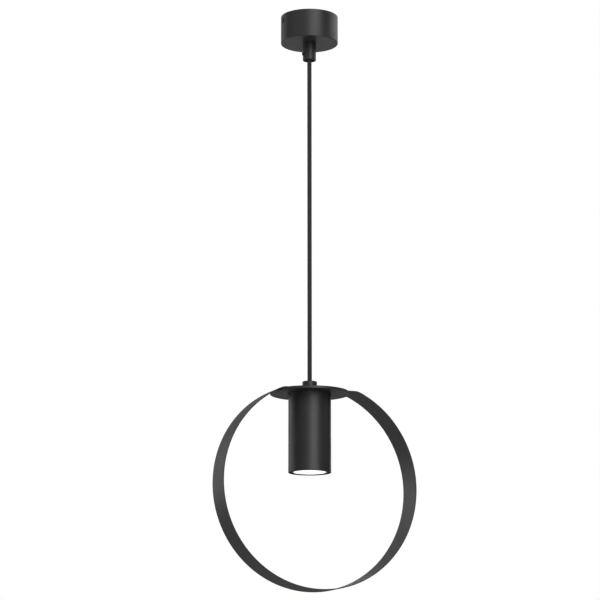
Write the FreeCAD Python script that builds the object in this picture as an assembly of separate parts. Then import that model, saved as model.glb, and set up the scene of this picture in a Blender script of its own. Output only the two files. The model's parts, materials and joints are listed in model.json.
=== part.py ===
"""Pendant spot lamp with a hoop: a round ceiling canopy, a straight cloth-covered cord, and a
slim tube with a twist-in reflector lamp that hangs inside a flat-topped steel hoop.

Units are millimetres. The origin is the middle of the canopy where it meets the ceiling, +Z is
up, the hoop lies in the XZ plane, and the canopy's side screws lie along X.
"""
import FreeCAD, Part
import math
import os

from FreeCAD import Vector

# Driving dimensions: gaps and overruns
fit_gap = 0.15          # between pieces that are assembled once and then stay put
thread_gap = 0.05       # between a thread and the piece screwed on it
run_gap = 0.2           # between pieces that turn or slide on each other
cut_over = 1.0          # how far a cutting tool runs past the face it opens
nipple_end_gap = 0.5    # between a nipple's end and the floor of its threaded hole
edge_match = 0.05       # how closely an edge must lie where it is looked for

# Driving dimensions: ceiling canopy and its bracket
canopy_dia = 82.2
canopy_height = 40.0
canopy_wall = 1.2
canopy_edge_round = 0.8
side_screw_drop = 10.0
side_hole_dia = 7.4
side_head_dia = 6.6
side_head_recess = 0.4
side_thread_dia = 4.0
side_thread_length = 7.0
side_socket_width = 3.0
side_socket_depth = 1.2
bracket_width = 18.0
bracket_thickness = 1.5
bracket_ear_height = 16.0
bracket_ear_gap = 0.4
bracket_bend_round = 1.4
ceiling_slot_spacing = 50.0
ceiling_slot_length = 12.0
ceiling_slot_width = 5.0

# Driving dimensions: hollow threaded tubes, nuts and washers of both cord grips
nipple_dia = 10.0
nipple_bore = 7.2
nut_flats = 14.0
nut_height = 4.0
nut_edge_round = 0.5
washer_dia = 18.0
washer_thickness = 1.0
nipple_stand_out = 1.5
tag_dia = 16.0
tag_thickness = 1.0
tag_tongue_width = 5.0
tag_reach = 15.0
low_tag_reach = 12.5
low_tag_turn = 90.0
tag_barrel_dia = 3.2
tag_barrel_length = 5.0

# Driving dimensions: terminal block
block_length = 28.0
block_width = 16.0
block_height = 12.0
way_pitch = 9.0
way_count = 3
way_height = 5.5
way_hump_gap = 1.6
way_hump_depth = 3.5
sleeve_dia = 5.0
sleeve_bore = 3.2
sleeve_length = 15.0
clamp_thread_dia = 2.8
clamp_offset = 4.3
clamp_recess = 1.0
clamp_hole_dia = 3.6
clamp_slot_width = 0.6
clamp_slot_depth = 0.7
fixing_thread_dia = 2.9
fixing_head_dia = 4.8
fixing_head_height = 1.8
fixing_thread_engagement = 1.4

# Driving dimensions: cord, its cores and the upper cord grip
cord_dia = 6.0
cord_free_length = 471.9
cord_bore_gap = 0.3
sheath_stand_out = 2.5
core_dia = 2.0
core_ring_dia = 2.55
core_entry = 4.0
core_lift = 8.0
core_layer_step = 3.0
core_side_reach = 18.0
upper_live_turn = 150.0
upper_earth_turn = 270.0
upper_neutral_turn = 30.0
lower_live_turn = 60.0
lower_earth_turn = 180.0
lower_neutral_turn = 300.0
earth_loop_drop = 7.5
grip_dia = 18.9
grip_length = 25.0
grip_thread_depth = 10.0
grip_edge_round = 0.5
grip_recess_dia = 14.8
grip_recess_depth = 3.0
grip_screw_height = 9.0
grip_screw_dia = 3.0
grip_screw_head_dia = 4.5
grip_screw_head_height = 1.3
grip_screw_socket = 1.5
grip_screw_socket_depth = 0.8
swing_degrees = 20.0
pivot_depth = 3.5
flare_gap = 0.6
bend_ball_dia = 5.4

# Driving dimensions: lower cord grip
low_grip_dia = 20.6
low_grip_height = 12.5
low_grip_top_round = 0.7
low_grip_base_round = 0.3
low_thread_depth = 4.7
low_cord_entry = 4.1
low_screw_recess = 0.5

# Driving dimensions: hoop, disc and tube
hoop_outer_dia = 292.4
hoop_flat_drop = 11.25
hoop_offset = 8.9
hoop_width = 41.5
hoop_thickness = 1.1
hoop_bend_radius = 22.0
disc_dia = 111.4
disc_thickness = 3.5
disc_edge_round = 0.3
spacer_dia = 24.0
spacer_thickness = 1.0
tube_dia = 60.0
tube_length = 110.8
tube_wall = 1.5
tube_top = 2.0
tube_rim_round = 0.25
nipple_hole_gap = 0.2

# Driving dimensions: lampholder, its bracket and its screws
strap_width = 14.0
strap_thickness = 1.5
strap_span = 36.0
strap_foot_reach = 8.5
strap_bend_round = 1.0
holder_length = 32.0
holder_width = 21.0
holder_height = 12.6
holder_corner_round = 4.0
holder_screw_spacing = 25.0
holder_screw_dia = 3.0
holder_head_dia = 5.5
holder_head_height = 2.2
holder_pocket_depth = 2.8
contact_thickness = 0.6
contact_tail_dia = 2.4
contact_tail_length = 3.0
pin_slot_gap = 0.25
pin_tip_gap = 0.3

# Driving dimensions: twist-in reflector lamp and its centring ring
lamp_dia = 50.0
lamp_length = 54.0
lamp_recess = 0.3
lens_dia = 45.6
lens_thickness = 2.3
lens_recess = 0.2
bezel_depth = 2.5
bezel_round = 0.7
lamp_rim_depth = 7.0
lamp_base_dia = 25.0
lamp_base_height = 12.0
lamp_base_round = 1.0
lamp_cavity_dia = 42.0
lamp_cavity_depth = 9.0
board_thickness = 1.6
driver_bore_dia = 17.0
driver_bore_depth = 36.0
driver_width = 15.0
driver_thickness = 1.6
driver_length = 22.0
pin_spacing = 10.0
pin_dia = 3.2
pin_head_dia = 5.0
pin_head_height = 2.6
pin_length = 7.0
pin_seat_gap = 0.4
twist_degrees = 20.0
ring_height = 5.0
ring_lamp_gap = 0.3
ring_bead = 0.5
ring_bead_height = 1.6
ring_bead_rise = 2.0
ring_edge_round = 0.3

# Heights, from the ceiling down
canopy_floor = -canopy_height
grip_mouth = canopy_floor - grip_length
pivot_height = grip_mouth + pivot_depth
low_grip_top = grip_mouth - cord_free_length
hoop_top = low_grip_top - low_grip_height
spacer_top = hoop_top - hoop_thickness
disc_top = spacer_top - spacer_thickness
disc_floor = disc_top - disc_thickness
tube_mouth = disc_floor - tube_length
tube_ceiling = disc_floor - tube_top
hoop_flat_rise = hoop_outer_dia / 2 - hoop_flat_drop
hoop_centre = hoop_top - hoop_flat_rise

# Radii that several pieces share
canopy_radius = canopy_dia / 2
canopy_bore = canopy_radius - canopy_wall
cord_radius = cord_dia / 2
cord_bore = cord_radius + cord_bore_gap
nipple_radius = nipple_dia / 2
thread_bore = nipple_radius + thread_gap
nipple_hole = nipple_radius + nipple_hole_gap
core_radius = core_dia / 2
tube_radius = tube_dia / 2
tube_bore = tube_radius - tube_wall
lamp_radius = lamp_dia / 2

UP = Vector(0, 0, 1)
ALONG_X = Vector(1, 0, 0)
ALONG_Y = Vector(0, 1, 0)


def cylinder(radius, low, high, x=0, y=0):
    """Upright cylinder between two heights."""
    return Part.makeCylinder(radius, high - low, Vector(x, y, low), UP)


def cylinder_x(radius, start, end, y, z):
    """Cylinder along X between two places."""
    return Part.makeCylinder(radius, end - start, Vector(start, y, z), ALONG_X)


def cylinder_y(radius, start, end, x, z):
    """Cylinder along Y between two places."""
    return Part.makeCylinder(radius, end - start, Vector(x, start, z), ALONG_Y)


def block(x_low, x_high, y_low, y_high, z_low, z_high):
    """Box between two corners."""
    corner = Vector(x_low, y_low, z_low)
    return Part.makeBox(x_high - x_low, y_high - y_low, z_high - z_low, corner)


def pipe(outer, bore, low, high):
    """Upright round pipe between two heights."""
    return cylinder(outer, low, high).cut(cylinder(bore, low - cut_over, high + cut_over))


def turned(outline):
    """Solid of revolution about Z of a closed outline of (radius, height) points."""
    points = [Vector(radius, 0, height) for radius, height in outline]
    face = Part.Face(Part.makePolygon(points + points[:1]))
    return face.revolve(Vector(0, 0, 0), UP, 360)


def hexagon(across_flats, low, high, x=0, y=0):
    """Upright hexagonal bar."""
    corner = across_flats / math.sqrt(3)
    angles = [math.radians(60 * step) for step in range(6)]
    points = [Vector(x + corner * math.cos(a), y + corner * math.sin(a), low) for a in angles]
    face = Part.Face(Part.makePolygon(points + points[:1]))
    return face.extrude(Vector(0, 0, high - low))


def circle_edges(shape, radius, height):
    """The round edges about Z with this radius at this height."""
    found = []
    for edge in shape.Edges:
        curve = edge.Curve
        if isinstance(curve, Part.Circle) and abs(curve.Radius - radius) < edge_match:
            on_axis = math.hypot(curve.Center.x, curve.Center.y) < edge_match
            if on_axis and abs(curve.Center.z - height) < edge_match:
                found.append(edge)
    return found


def edges_along(shape, direction, test):
    """The straight edges along a direction whose middle passes a test."""
    found = []
    for edge in shape.Edges:
        if isinstance(edge.Curve, Part.Line):
            run = edge.Vertexes[-1].Point - edge.Vertexes[0].Point
            if run.cross(direction).Length < edge_match and test(edge.CenterOfMass):
                found.append(edge)
    return found


def tube_along(points, radius):
    """Round tube along straight runs joined by tangent arcs, with its tightest arc printed.

    Each arc's radius is a fixed share of the shorter of its two runs, divided by the tangent
    of half the turn.
    """
    arc_share = 0.45
    edges = []
    tightest = None
    start = points[0]
    for before, corner, after in zip(points, points[1:], points[2:]):
        back = before - corner
        ahead = after - corner
        shorter = min(back.Length, ahead.Length)
        back.normalize()
        ahead.normalize()
        turn = math.pi - back.getAngle(ahead)
        reach = arc_share * shorter
        arc_radius = reach / math.tan(turn / 2)
        tightest = arc_radius if tightest is None else min(tightest, arc_radius)
        arc_start = corner + back * reach
        arc_end = corner + ahead * reach
        halfway = (back + ahead).normalize()
        centre_distance = arc_radius / math.cos(turn / 2)
        arc_middle = corner + halfway * (centre_distance - arc_radius)
        edges.append(Part.LineSegment(start, arc_start).toShape())
        edges.append(Part.Arc(arc_start, arc_middle, arc_end).toShape())
        start = arc_end
    edges.append(Part.LineSegment(start, points[-1]).toShape())
    path = Part.Wire(edges)
    direction = points[1] - points[0]
    ring = Part.Wire(Part.makeCircle(radius, points[0], direction))
    solid = path.makePipeShell([ring], True, False)
    length = sum(edge.Length for edge in edges)
    section = math.pi * radius ** 2
    print(f"tube: length {length:.1f}, tightest arc {tightest:.2f}, "
          f"volume over section times length {solid.Volume / (section * length):.4f}")
    return solid


def save(name, *solids):
    """Write one node's solids to its own file and print what they measure."""
    shape = solids[0] if len(solids) == 1 else Part.makeCompound(list(solids))
    shape.exportStep(f"parts/{name}.step")
    box = shape.BoundBox
    print(f"{name}: {len(shape.Solids)} solid, {shape.Volume:.1f} mm3, valid {shape.isValid()}, "
          f"x {box.XMin:.2f}..{box.XMax:.2f} y {box.YMin:.2f}..{box.YMax:.2f} "
          f"z {box.ZMin:.2f}..{box.ZMax:.2f}")
    return shape


def nut_at(low):
    """Hexagonal lock nut, its corners eased by a turned blank."""
    corner = nut_flats / math.sqrt(3)
    blank = cylinder(corner, low, low + nut_height)
    ends = circle_edges(blank, corner, low) + circle_edges(blank, corner, low + nut_height)
    blank = blank.makeFillet(nut_edge_round, ends)
    bore = cylinder(thread_bore, low - cut_over, low + nut_height + cut_over)
    return hexagon(nut_flats, low, low + nut_height).common(blank).cut(bore)


# Ceiling bracket: a steel strip with two slots for the ceiling screws and two ears folded down
half_width = bracket_width / 2
ear_face = math.sqrt(canopy_bore ** 2 - half_width ** 2) - bracket_ear_gap
ear_inside = ear_face - bracket_thickness
strip_floor = -bracket_thickness
way_places = [way_pitch * (index - (way_count - 1) / 2) for index in range(way_count)]
fixing_place = way_pitch / 2


def ceiling_bracket():
    strip = block(-ear_face, ear_face, -half_width, half_width, strip_floor, 0)
    ears = []
    for side in (-1, 1):
        low_x, high_x = sorted((side * ear_face, side * ear_inside))
        ears.append(block(low_x, high_x, -half_width, half_width, -bracket_ear_height, 0))
    body = strip.fuse(ears).removeSplitter()
    folds = edges_along(body, ALONG_Y, lambda p: abs(p.x) > ear_inside and p.z > strip_floor)
    body = body.makeFillet(bracket_bend_round, folds)
    slot_radius = ceiling_slot_width / 2
    slot_half = ceiling_slot_length / 2 - slot_radius
    for side in (-1, 1):
        middle = side * ceiling_slot_spacing / 2
        low = strip_floor - cut_over
        body = body.cut(block(middle - slot_half, middle + slot_half,
                              -slot_radius, slot_radius, low, cut_over))
        for end in (middle - slot_half, middle + slot_half):
            body = body.cut(cylinder(slot_radius, low, cut_over, end))
    tapped = side_thread_dia / 2 + thread_gap
    reach = ear_face + cut_over
    body = body.cut(cylinder_x(tapped, -reach, reach, 0, -side_screw_drop))
    hole = fixing_thread_dia / 2 + thread_gap
    return body.cut(cylinder(hole, strip_floor - cut_over, cut_over, fixing_place))


# Canopy: a spun cup with a hole in its floor for the cord grip and two side holes
def canopy_shell():
    cup = cylinder(canopy_radius, canopy_floor, 0)
    cup = cup.makeFillet(canopy_edge_round, circle_edges(cup, canopy_radius, canopy_floor))
    hollow = cylinder(canopy_bore, canopy_floor + canopy_wall, cut_over)
    hole = cylinder(nipple_hole, canopy_floor - cut_over, 0)
    reach = canopy_radius + cut_over
    sides = cylinder_x(side_hole_dia / 2, -reach, reach, 0, -side_screw_drop)
    return cup.cut([hollow, hole, sides])


def side_screw(side):
    """Shoulder screw whose head stands in the canopy's hole and carries the canopy."""
    head_end = canopy_radius - side_head_recess
    head = cylinder_x(side_head_dia / 2, ear_face, head_end, 0, -side_screw_drop)
    shank_start = ear_face - side_thread_length
    shank = cylinder_x(side_thread_dia / 2, shank_start, ear_face, 0, -side_screw_drop)
    socket = hexagon(side_socket_width, -side_socket_depth, cut_over)
    socket.rotate(Vector(0, 0, 0), ALONG_Y, 90)
    socket.translate(Vector(head_end, 0, -side_screw_drop))
    screw = head.fuse(shank).removeSplitter().cut(socket)
    if side < 0:
        screw.rotate(Vector(0, 0, 0), UP, 180)
    return screw


# Upper nipple stack inside the canopy
inner_floor = canopy_floor + canopy_wall
upper_tag_low = inner_floor + washer_thickness
upper_nut_low = upper_tag_low + tag_thickness
upper_nipple_top = upper_nut_low + nut_height + nipple_stand_out
upper_nipple_low = canopy_floor - grip_thread_depth + nipple_end_gap
upper_sheath_end = upper_nipple_top + sheath_stand_out


def earth_tag(low, reach, turn_degrees, barrel_low):
    """Ring tag that a lock nut clamps, with a tongue to one side and a crimp barrel on it."""
    high = low + tag_thickness
    ring = cylinder(tag_dia / 2, low, high)
    tongue = block(-tag_tongue_width / 2, tag_tongue_width / 2, 0, reach, low, high)
    end = cylinder(tag_tongue_width / 2, low, high, 0, reach)
    barrel = cylinder(tag_barrel_dia / 2, barrel_low, barrel_low + tag_barrel_length, 0, reach)
    hole = cylinder(nipple_hole, low - cut_over, high + cut_over)
    tag = ring.fuse([tongue, end, barrel]).removeSplitter().cut(hole)
    tag.rotate(Vector(0, 0, 0), UP, turn_degrees)
    return tag


# Cord bend: the short length of cord that flexes in the grip's mouth. Both swings turn about its
# middle, so it is a ball between the clamped cord above and the free cord below.
swing = math.radians(swing_degrees)
full_tilt = math.acos(math.cos(swing) ** 2)
bend_half = cord_radius * math.tan(full_tilt / 2) + run_gap / 2
flare_top = pivot_height + bend_half
flare_radius = (pivot_depth * math.tan(full_tilt) + cord_radius / math.cos(full_tilt)
                + flare_gap)
ball_radius = bend_ball_dia / 2
cup_radius = ball_radius + run_gap / 2


def upper_cord_grip():
    grip_radius = grip_dia / 2
    body = cylinder(grip_radius, grip_mouth, canopy_floor)
    body = body.makeFillet(grip_edge_round, circle_edges(body, grip_radius, grip_mouth))
    thread_end = canopy_floor - grip_thread_depth
    thread = cylinder(thread_bore, thread_end, canopy_floor + cut_over)
    bore = cylinder(cord_bore, grip_mouth - cut_over, thread_end + cut_over)
    slope = (flare_radius - cord_bore) / (flare_top - grip_mouth)
    past_mouth = flare_radius + slope * cut_over
    flare = turned([(0, flare_top), (cord_bore, flare_top),
                    (past_mouth, grip_mouth - cut_over), (0, grip_mouth - cut_over)])
    hole = cylinder_x(grip_screw_dia / 2 + thread_gap, -grip_radius - cut_over, 0, 0,
                      grip_mouth + grip_screw_height)
    recess = cylinder(grip_recess_dia / 2, grip_mouth - cut_over, grip_mouth + grip_recess_depth)
    return body.cut([thread, bore, flare, recess, hole])


def upper_grip_screw():
    height = grip_mouth + grip_screw_height
    face = -grip_dia / 2
    shank = cylinder_x(grip_screw_dia / 2, face, -cord_radius - thread_gap, 0, height)
    head_end = face - grip_screw_head_height
    head = cylinder_x(grip_screw_head_dia / 2, head_end, face, 0, height)
    socket = hexagon(grip_screw_socket, -grip_screw_socket_depth, cut_over)
    socket.rotate(Vector(0, 0, 0), ALONG_Y, -90)
    socket.translate(Vector(head_end, 0, height))
    return head.fuse(shank).removeSplitter().cut(socket)


def cord_upper_tail():
    clamped = cylinder(cord_radius, pivot_height + bend_half, upper_sheath_end)
    return clamped.cut(Part.makeSphere(cup_radius, Vector(0, 0, pivot_height)))


def cord_bend():
    return Part.makeSphere(ball_radius, Vector(0, 0, pivot_height))


# The free cord goes a little way into the lower grip, where it meets the clamped tail
low_cord_meeting = low_grip_top - low_cord_entry


def cord_drop():
    free = cylinder(cord_radius, low_cord_meeting, pivot_height - bend_half)
    return free.cut(Part.makeSphere(cup_radius, Vector(0, 0, pivot_height)))


# Terminal block and its brass, under the middle of the bracket
block_floor = strip_floor - block_height
way_axis = block_floor + block_height - way_height
half_block = block_width / 2


def terminal_block():
    half_length = block_length / 2
    body = block(-half_length, half_length, -half_block, half_block, block_floor, strip_floor)
    low = block_floor - cut_over
    for place in way_places:
        body = body.cut(cylinder_y(sleeve_dia / 2 + fit_gap, -half_block - cut_over,
                                   half_block + cut_over, place, way_axis))
        for side in (-1, 1):
            body = body.cut(cylinder(clamp_hole_dia / 2, low, way_axis,
                                     place, side * clamp_offset))
    for left, right in zip(way_places, way_places[1:]):
        middle = (left + right) / 2
        notch = block(middle - way_hump_gap / 2, middle + way_hump_gap / 2,
                      -half_block - cut_over, half_block + cut_over,
                      low, block_floor + way_hump_depth)
        body = body.cut(notch)
    hole = cylinder(fixing_thread_dia / 2 + fit_gap, low, strip_floor + cut_over, fixing_place)
    pocket = cylinder(fixing_head_dia / 2 + fit_gap, low,
                      block_floor + way_hump_depth, fixing_place)
    return body.cut([hole, pocket])


def terminal_sleeve(place):
    half = sleeve_length / 2
    barrel = cylinder_y(sleeve_dia / 2, -half, half, place, way_axis)
    barrel = barrel.cut(cylinder_y(sleeve_bore / 2, -half - cut_over, half + cut_over,
                                   place, way_axis))
    tapped = clamp_thread_dia / 2 + thread_gap
    for side in (-1, 1):
        barrel = barrel.cut(cylinder(tapped, way_axis - sleeve_dia, way_axis,
                                     place, side * clamp_offset))
    return barrel


def terminal_screw(place, side):
    low = block_floor + clamp_recess
    tip = way_axis - core_radius - thread_gap
    y = side * clamp_offset
    screw = cylinder(clamp_thread_dia / 2, low, tip, place, y)
    slot = block(place - clamp_slot_width / 2, place + clamp_slot_width / 2,
                 y - clamp_thread_dia, y + clamp_thread_dia,
                 low - cut_over, low + clamp_slot_depth)
    return screw.cut(slot)


def terminal_fixing_screw():
    seat = block_floor + way_hump_depth
    head = cylinder(fixing_head_dia / 2, seat - fixing_head_height, seat, fixing_place)
    shank = cylinder(fixing_thread_dia / 2, seat, strip_floor + fixing_thread_engagement,
                     fixing_place)
    slot = block(fixing_place - fixing_head_dia, fixing_place + fixing_head_dia,
                 -clamp_slot_width / 2, clamp_slot_width / 2,
                 seat - fixing_head_height - cut_over,
                 seat - fixing_head_height + clamp_slot_depth)
    return head.fuse(shank).removeSplitter().cut(slot)


# Cores in the canopy: out of the sheath, over to one side, up, and back into the terminal block
core_ring_radius = core_ring_dia / 2


def core_start(turn_degrees):
    """Where one of the three cores lies in the sheath."""
    angle = math.radians(turn_degrees)
    return core_ring_radius * math.cos(angle), core_ring_radius * math.sin(angle)


def upper_core(turn_degrees, way, layer):
    x, y = core_start(turn_degrees)
    turn_height = upper_sheath_end + core_lift + layer * core_layer_step
    place = way_places[way]
    return tube_along([Vector(x, y, upper_sheath_end),
                       Vector(x, y, turn_height),
                       Vector(place, -core_side_reach, turn_height),
                       Vector(place, -core_side_reach, way_axis),
                       Vector(place, core_entry - half_block, way_axis)], core_radius)


def upper_earth_link():
    """Short lead from the ring tag on the nipple to the earth way of the terminal block."""
    place = way_places[way_count // 2]
    return tube_along([Vector(0, tag_reach, upper_nut_low + tag_barrel_length),
                       Vector(place, tag_reach, way_axis),
                       Vector(place, half_block - core_entry, way_axis)], core_radius)


# Lower cord grip and the nipple that draws grip, hoop, disc, tube and bracket together
low_thread_top = hoop_top + low_thread_depth
low_screw_height = (low_cord_meeting + low_thread_top) / 2
strap_floor = tube_ceiling - strap_thickness
low_washer_floor = strap_floor - washer_thickness
low_tag_floor = low_washer_floor - tag_thickness
low_nut_floor = low_tag_floor - nut_height
low_nipple_floor = low_nut_floor - nipple_stand_out
low_sheath_end = low_nipple_floor - sheath_stand_out


def lower_cord_grip():
    radius = low_grip_dia / 2
    body = cylinder(radius, hoop_top, low_grip_top)
    body = body.makeFillet(low_grip_top_round, circle_edges(body, radius, low_grip_top))
    body = body.makeFillet(low_grip_base_round, circle_edges(body, radius, hoop_top))
    bore = cylinder(cord_bore, hoop_top, low_grip_top + cut_over)
    thread = cylinder(thread_bore, hoop_top - cut_over, low_thread_top)
    hole = cylinder_y(grip_screw_dia / 2 + thread_gap, 0, radius + cut_over, 0, low_screw_height)
    return body.cut([bore, thread, hole])


def lower_grip_screw():
    """Grub screw at the back of the lower grip, flush, holding the cord's tail."""
    end = low_grip_dia / 2 - low_screw_recess
    screw = cylinder_y(grip_screw_dia / 2, cord_radius + thread_gap, end, 0, low_screw_height)
    socket = hexagon(grip_screw_socket, -grip_screw_socket_depth, cut_over)
    socket.rotate(Vector(0, 0, 0), ALONG_X, -90)
    socket.translate(Vector(0, end, low_screw_height))
    return screw.cut(socket)


def cord_lower_tail():
    return cylinder(cord_radius, low_sheath_end, low_cord_meeting)


# Hoop: one strip bent to a circle, with a flat on top that lies on a thin spacer on the disc
def hoop_bend_start(inset):
    """Height and reach of a small bend's centre from the hoop's centre."""
    bend = hoop_bend_radius - inset
    centre_z = hoop_flat_rise - inset - bend
    return math.sqrt((hoop_outer_dia / 2 - inset - bend) ** 2 - centre_z ** 2), centre_z


def hoop_solid(inset, half_width):
    """Everything inside the strip's outer face, or inside its inner face when inset by its
    thickness: a long arc, two small bends and the flat, all about the same centres."""
    arc_radius = hoop_outer_dia / 2 - inset
    bend = hoop_bend_radius - inset
    flat = hoop_flat_rise - inset
    bend_centre_x, bend_centre_z = hoop_bend_start(inset)
    share = arc_radius / (arc_radius - bend)

    def place(x, z):
        return Vector(hoop_offset + x, -half_width, hoop_centre + z)

    edges = []
    flat_left = place(-bend_centre_x, flat)
    flat_right = place(bend_centre_x, flat)
    edges.append(Part.LineSegment(flat_left, flat_right).toShape())
    right_end = place(bend_centre_x * share, bend_centre_z * share)
    left_end = place(-bend_centre_x * share, bend_centre_z * share)
    half_turn = (math.pi / 2 + math.atan2(bend_centre_z, bend_centre_x)) / 2
    middle_x = bend_centre_x + bend * math.cos(half_turn)
    middle_z = bend_centre_z + bend * math.sin(half_turn)
    edges.append(Part.Arc(flat_right, place(middle_x, middle_z), right_end).toShape())
    for start, middle, end in ((right_end, place(arc_radius, 0), place(0, -arc_radius)),
                               (place(0, -arc_radius), place(-arc_radius, 0), left_end)):
        edges.append(Part.Arc(start, middle, end).toShape())
    edges.append(Part.Arc(left_end, place(-middle_x, middle_z), flat_left).toShape())
    return Part.Face(Part.Wire(edges)).extrude(Vector(0, 2 * half_width, 0))


def ring_band():
    band = hoop_solid(0, hoop_width / 2).cut(hoop_solid(hoop_thickness, hoop_width / 2))
    return band.cut(cylinder(nipple_hole, spacer_top - cut_over, hoop_top + cut_over))


def disc_plate():
    """Round plate whose edge is eased where the hoop's left side comes down past it."""
    radius = disc_dia / 2
    plate = cylinder(radius, disc_floor, disc_top)
    plate = plate.makeFillet(disc_edge_round, circle_edges(plate, radius, disc_floor))
    reach = hoop_width / 2 + fit_gap
    bend_x = hoop_offset - hoop_bend_start(0)[0]
    beside = block(hoop_offset - hoop_outer_dia / 2, bend_x, -reach, reach,
                   disc_floor - cut_over, disc_top + cut_over)
    beside = beside.cut(hoop_solid(hoop_thickness + fit_gap, reach + cut_over))
    hole = cylinder(nipple_hole, disc_floor - cut_over, disc_top + cut_over)
    return plate.cut([beside, hole])


# Tube: open below, with a groove near its mouth that holds the centring ring's bead
ring_floor = tube_mouth + lamp_recess
bead_low = ring_floor + ring_bead_rise
bead_high = bead_low + ring_bead_height
ring_radius = tube_bore - run_gap


def tube_housing():
    body = cylinder(tube_radius, tube_mouth, disc_floor)
    bore = cylinder(tube_bore, tube_mouth - cut_over, tube_ceiling)
    body = body.cut(bore)
    rims = circle_edges(body, tube_radius, tube_mouth) + circle_edges(body, tube_bore, tube_mouth)
    body = body.makeFillet(tube_rim_round, rims)
    hole = cylinder(nipple_hole, tube_ceiling - cut_over, disc_floor + cut_over)
    groove = cylinder(ring_radius + ring_bead + run_gap, bead_low - run_gap, bead_high + run_gap)
    return body.cut([hole, groove])


def centring_ring():
    """Black ring that fills the gap round the lamp's rim and turns with the lamp."""
    bore = lamp_radius + ring_lamp_gap
    ring = cylinder(ring_radius, ring_floor, ring_floor + ring_height)
    ring = ring.cut(cylinder(bore, ring_floor - cut_over, ring_floor + ring_height + cut_over))
    rims = circle_edges(ring, bore, ring_floor) + circle_edges(ring, ring_radius, ring_floor)
    ring = ring.makeFillet(ring_edge_round, rims)
    return ring.fuse(pipe(ring_radius + ring_bead, bore, bead_low, bead_high)).removeSplitter()


# Lamp levels
lamp_face = tube_mouth + lamp_recess
lamp_back = lamp_face + lamp_length - pin_length
pin_tip = lamp_back + pin_length
holder_floor = lamp_back + pin_seat_gap
contact_floor = pin_tip + pin_tip_gap
slot_roof = contact_floor + contact_thickness
holder_roof = holder_floor + holder_height
strap_side = strap_span / 2


def lampholder_bracket():
    """Bent strap: a web under the tube's top, two legs and two feet turned in."""
    half = strap_width / 2
    inside = strap_side - strap_thickness
    foot_roof = holder_roof + strap_thickness
    web = block(-strap_side, strap_side, -half, half, strap_floor, tube_ceiling)
    pieces = []
    for side in (-1, 1):
        outer_x = side * strap_side
        inner_x = side * inside
        toe_x = side * (strap_side - strap_foot_reach)
        low_x, high_x = sorted((outer_x, inner_x))
        pieces.append(block(low_x, high_x, -half, half, holder_roof, tube_ceiling))
        low_x, high_x = sorted((outer_x, toe_x))
        pieces.append(block(low_x, high_x, -half, half, holder_roof, foot_roof))
    body = web.fuse(pieces).removeSplitter()
    folds = edges_along(body, ALONG_Y, lambda p: abs(p.x) > strap_side - fit_gap)
    body = body.makeFillet(strap_bend_round, folds)
    tools = [cylinder(nipple_hole, strap_floor - cut_over, tube_ceiling + cut_over)]
    for side in (-1, 1):
        tools.append(cylinder(holder_screw_dia / 2 + thread_gap, holder_roof - cut_over,
                              foot_roof + cut_over, side * holder_screw_spacing / 2))
    return body.cut(tools)


def pin_angle(side):
    """Angle about Z of a lamp pin when the lamp is locked."""
    return 90 * side


def pin_slot(side, radius, low, high):
    """Slot swept by a pin from locked to free: two rounds and the arc between them."""
    pitch = pin_spacing / 2
    start = math.radians(pin_angle(side))
    end = start - math.radians(twist_degrees)
    rounds = [cylinder(radius, low, high, pitch * math.cos(a), pitch * math.sin(a))
              for a in (start, end)]
    ring = Part.makeCylinder(pitch + radius, high - low, Vector(0, 0, low), UP, twist_degrees)
    ring = ring.cut(cylinder(pitch - radius, low - cut_over, high + cut_over))
    ring.rotate(Vector(0, 0, 0), UP, math.degrees(end))
    return rounds[0].fuse([rounds[1], ring]).removeSplitter()


slot_radius = pin_head_dia / 2 + pin_slot_gap


def lampholder_body():
    half_length = holder_length / 2
    half = holder_width / 2
    body = block(-half_length, half_length, -half, half, holder_floor, holder_roof)
    corners = edges_along(body, UP, lambda p: True)
    body = body.makeFillet(holder_corner_round, corners)
    tools = []
    for side in (-1, 1):
        tools.append(pin_slot(side, slot_radius, holder_floor - cut_over, slot_roof))
        angle = math.radians(pin_angle(side))
        x = pin_spacing / 2 * math.cos(angle)
        y = pin_spacing / 2 * math.sin(angle)
        tools.append(cylinder(contact_tail_dia / 2 + fit_gap, slot_roof - cut_over,
                              holder_roof + cut_over, x, y))
        place = side * holder_screw_spacing / 2
        tools.append(cylinder(holder_screw_dia / 2 + fit_gap, holder_floor - cut_over,
                              holder_roof + cut_over, place))
        tools.append(cylinder(holder_head_dia / 2 + fit_gap, holder_floor - cut_over,
                              holder_floor + holder_pocket_depth, place))
    return body.cut(tools)


def lampholder_contact(side):
    """Contact leaf on the slot's roof, with a tail that stands out of the ceramic."""
    leaf = pin_slot(side, slot_radius - fit_gap, contact_floor, slot_roof)
    angle = math.radians(pin_angle(side))
    x = pin_spacing / 2 * math.cos(angle)
    y = pin_spacing / 2 * math.sin(angle)
    tail = cylinder(contact_tail_dia / 2, contact_floor, holder_roof + contact_tail_length, x, y)
    return leaf.fuse(tail).removeSplitter()


def lampholder_screw(side):
    place = side * holder_screw_spacing / 2
    seat = holder_floor + holder_pocket_depth
    head = cylinder(holder_head_dia / 2, seat - holder_head_height, seat, place)
    shank = cylinder(holder_screw_dia / 2, seat, holder_roof + strap_thickness + thread_gap,
                     place)
    slot = block(place - holder_head_dia, place + holder_head_dia,
                 -clamp_slot_width / 2, clamp_slot_width / 2,
                 seat - holder_head_height - cut_over,
                 seat - holder_head_height + clamp_slot_depth)
    return head.fuse(shank).removeSplitter().cut(slot)


# Cores in the tube: live and neutral to the contact tails, earth to the tag under the strap
core_bow_share = (0.30, 0.52, 0.80)
core_bow_out = 4.0


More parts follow.
